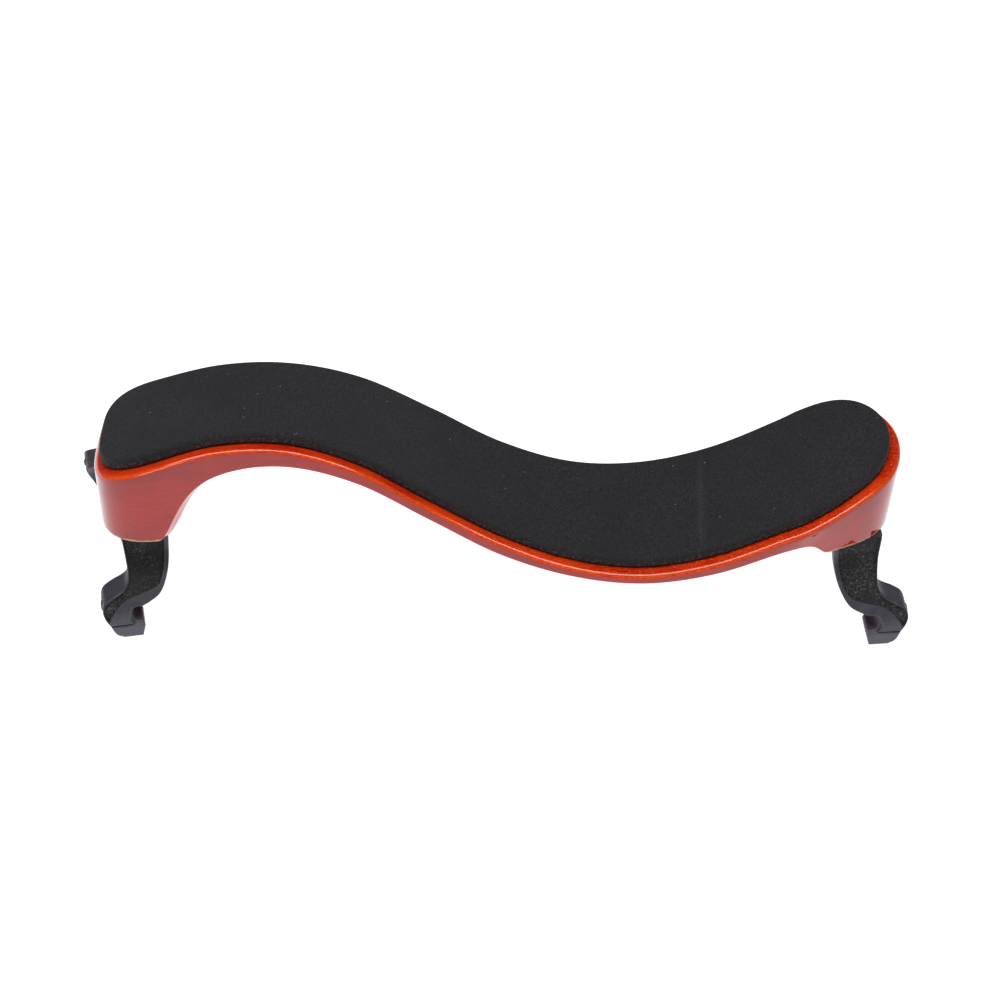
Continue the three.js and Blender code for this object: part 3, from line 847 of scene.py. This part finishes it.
def rubber():
    finish = Finish("claw_rubber", **{"Specular IOR Level": 0.55})
    bloom = finish.noise(0.5, 4, 0.6)
    colour = finish.mix(finish.span(bloom, 0.3, 0.7), (0.05, 0.05, 0.065), (0.068, 0.068, 0.088))
    finish.set("Base Color", colour)
    finish.set("Roughness", finish.span(bloom, 0.3, 0.7, 0.48, 0.62))
    finish.bump(finish.noise(2.5, 3, 0.6), 0.04)
    return finish.material


def metal(name, dark, light, rough, turned_lines):
    """Machined metal with fine turning marks."""
    finish = Finish(name, Metallic=1.0)
    marks = finish.noise(2.0, 3, 0.6, (0.4, 0.4, turned_lines))
    stain = finish.noise(0.5, 3, 0.6)
    finish.set("Base Color", finish.mix(finish.span(stain, 0.35, 0.7), dark, light))
    finish.set("Roughness", finish.span(marks, 0.3, 0.7, rough - 0.07, rough + 0.08))
    finish.bump(marks, 0.02)
    return finish.material


def fibre():
    finish = Finish("washer_fibre", **{"Specular IOR Level": 0.3})
    strands = finish.noise(1.6, 5, 0.75)
    colour = finish.mix(finish.span(strands, 0.3, 0.7), (0.02, 0.018, 0.016), (0.05, 0.045, 0.04))
    finish.set("Base Color", colour)
    finish.set("Roughness", finish.span(strands, 0.3, 0.7, 0.8, 0.95))
    finish.bump(strands, 0.06)
    return finish.material


# ---- The scene ----


def camera():
    aim = Vector((SHIFT + CAMERA_AIM) * MM)
    data = bpy.data.cameras.new("camera")
    data.lens = 113
    data.sensor_width = 36
    made = add_object("camera", data)
    made.location = aim + CAMERA_DISTANCE * Vector((0, -math.cos(CAMERA_TILT), math.sin(CAMERA_TILT)))
    made.rotation_euler = (math.pi / 2 - CAMERA_TILT, 0, 0)
    bpy.context.scene.camera = made


def softbox(name, place, aim, size, power):
    data = bpy.data.lights.new(name, "AREA")
    data.shape = "RECTANGLE"
    data.size, data.size_y = size
    data.energy = power
    made = add_object(name, data)
    made.location = place
    made.rotation_euler = (Vector(aim) - Vector(place)).to_track_quat("-Z", "Y").to_euler()


def studio():
    """A glowing white floor, soft light from above and a dim surround."""
    points, faces = lathe([(0, 0), (300, 0), (1500, 0), (6000, 0)], 96)
    mesh = bpy.data.meshes.new("floor")
    mesh.from_pydata((points * MM).tolist(), [], faces.tolist())
    floor = add_object("floor", mesh)
    paper = Finish("floor_paper", Roughness=0.9, **{"Specular IOR Level": 0.1})
    paper.shader.inputs["Base Color"].default_value = (0.4, 0.4, 0.42, 1)
    paper.shader.inputs["Emission Color"].default_value = (0.96, 0.96, 1.0, 1)
    paper.shader.inputs["Emission Strength"].default_value = 1.03
    mesh.materials.append(paper.material)
    world = bpy.data.worlds.new("studio")
    world.use_nodes = True
    background = world.node_tree.nodes["Background"]
    background.inputs["Color"].default_value = (0.9, 0.93, 1.0, 1)
    background.inputs["Strength"].default_value = 0.06
    bpy.context.scene.world = world
    softbox("top_light", (0.0, -0.15, 1.1), (0, 0, 0.04), (1.1, 0.5), 12)
    softbox("front_light", (-0.5, -1.1, 0.9), (0, 0, 0.04), (0.5, 0.5), 4)
    bpy.context.scene.view_settings.view_transform = "Standard"


def hardware(end_name, end, finishes):
    """The pieces on one screw axis."""
    claws, screw = f"{end_name}_claws", f"{end_name}_screw"
    fibre_finish, steel_finish, brass_finish = finishes
    points, faces = threaded_screw()
    new_piece(
        f"{end_name}_threaded_screw", placed(points, end), faces, screw, steel_finish,
        [f"{end_name}_height_screw"],
    )
    points, faces = lathe(ring_outline(3.3, 6.95, 29.72, 30.68, 0.15), 72)
    new_piece(
        f"{end_name}_fibre_washer", placed(points, end), faces, claws, fibre_finish,
        [f"{end_name}_wood_washer"],
    )
    points, faces = lathe(ring_outline(3.2, 4.6, 31.15, 43.2, 0.25), 72)
    new_piece(
        f"{end_name}_brass_insert", placed(points, end), faces, "rest", brass_finish,
        [f"{end_name}_thread_insert"],
    )
    points, faces = surface(nut_field, *NUT_BOX, 0.25)
    new_piece(
        f"{end_name}_hex_nut", placed(points, end), faces, claws, steel_finish,
        [f"{end_name}_hub_nut"],
    )


def forks():
    """Both forks and their four claw pads, from one fork's shape and one pad's."""
    step = 0.25
    plastic_finish, rubber_finish = plastic(), rubber()
    hardware_finishes = (
        fibre(),
        metal("screw_steel", (0.36, 0.36, 0.37), (0.55, 0.55, 0.56), 0.3, 4),
        metal("insert_brass", (0.5, 0.3, 0.09), (0.68, 0.45, 0.17), 0.3, 4),
    )
    points, faces = surface(fork_field, *FORK_BOX, step)
    nearest = np.min([np.abs(recess_field(*points.T, hand)) for hand in (-1, 1)], axis=0)
    recess = smoothstep(0.2, 0.05, nearest)
    for end_name, end in ENDS.items():
        claws = f"{end_name}_claws"
        new_piece(
            f"{end_name}_fork_moulding", placed(points, end), faces, claws, plastic_finish,
            [f"{end_name}_fork"], {"recess": recess},
        )
        hardware(end_name, end, hardware_finishes)
    for side in (-1, 1):
        reach = sorted((side * 26.5, side * 37.5))
        points, faces = surface(claw_field(side), (3, reach[0], -0.6), (17, reach[1], 13), step)
        for end_name, end in ENDS.items():
            place = "back" if side == end["back"] else "front"
            new_piece(
                f"{end_name}_{place}_claw_rubber", placed(points, end), faces, f"{end_name}_claws",
                rubber_finish, [f"{end_name}_{place}_claw_pad"],
            )


def main():
    camera()
    studio()
    carved_bar(varnished_maple())
    pad = layer(
        "foam_cushion", "foam_pad", foam(), PAD_BOTTOM, PAD_TOP, PAD_INSET,
        PAD_RADIUS, spacing=0.7, shares=26,
    )
    layer(
        "adhesive_sheet", "pad_adhesive", film(), FILM_BOTTOM, FILM_TOP, FILM_INSET,
        FILM_RADIUS, spacing=1.5, shares=8,
    )
    forks()


main()
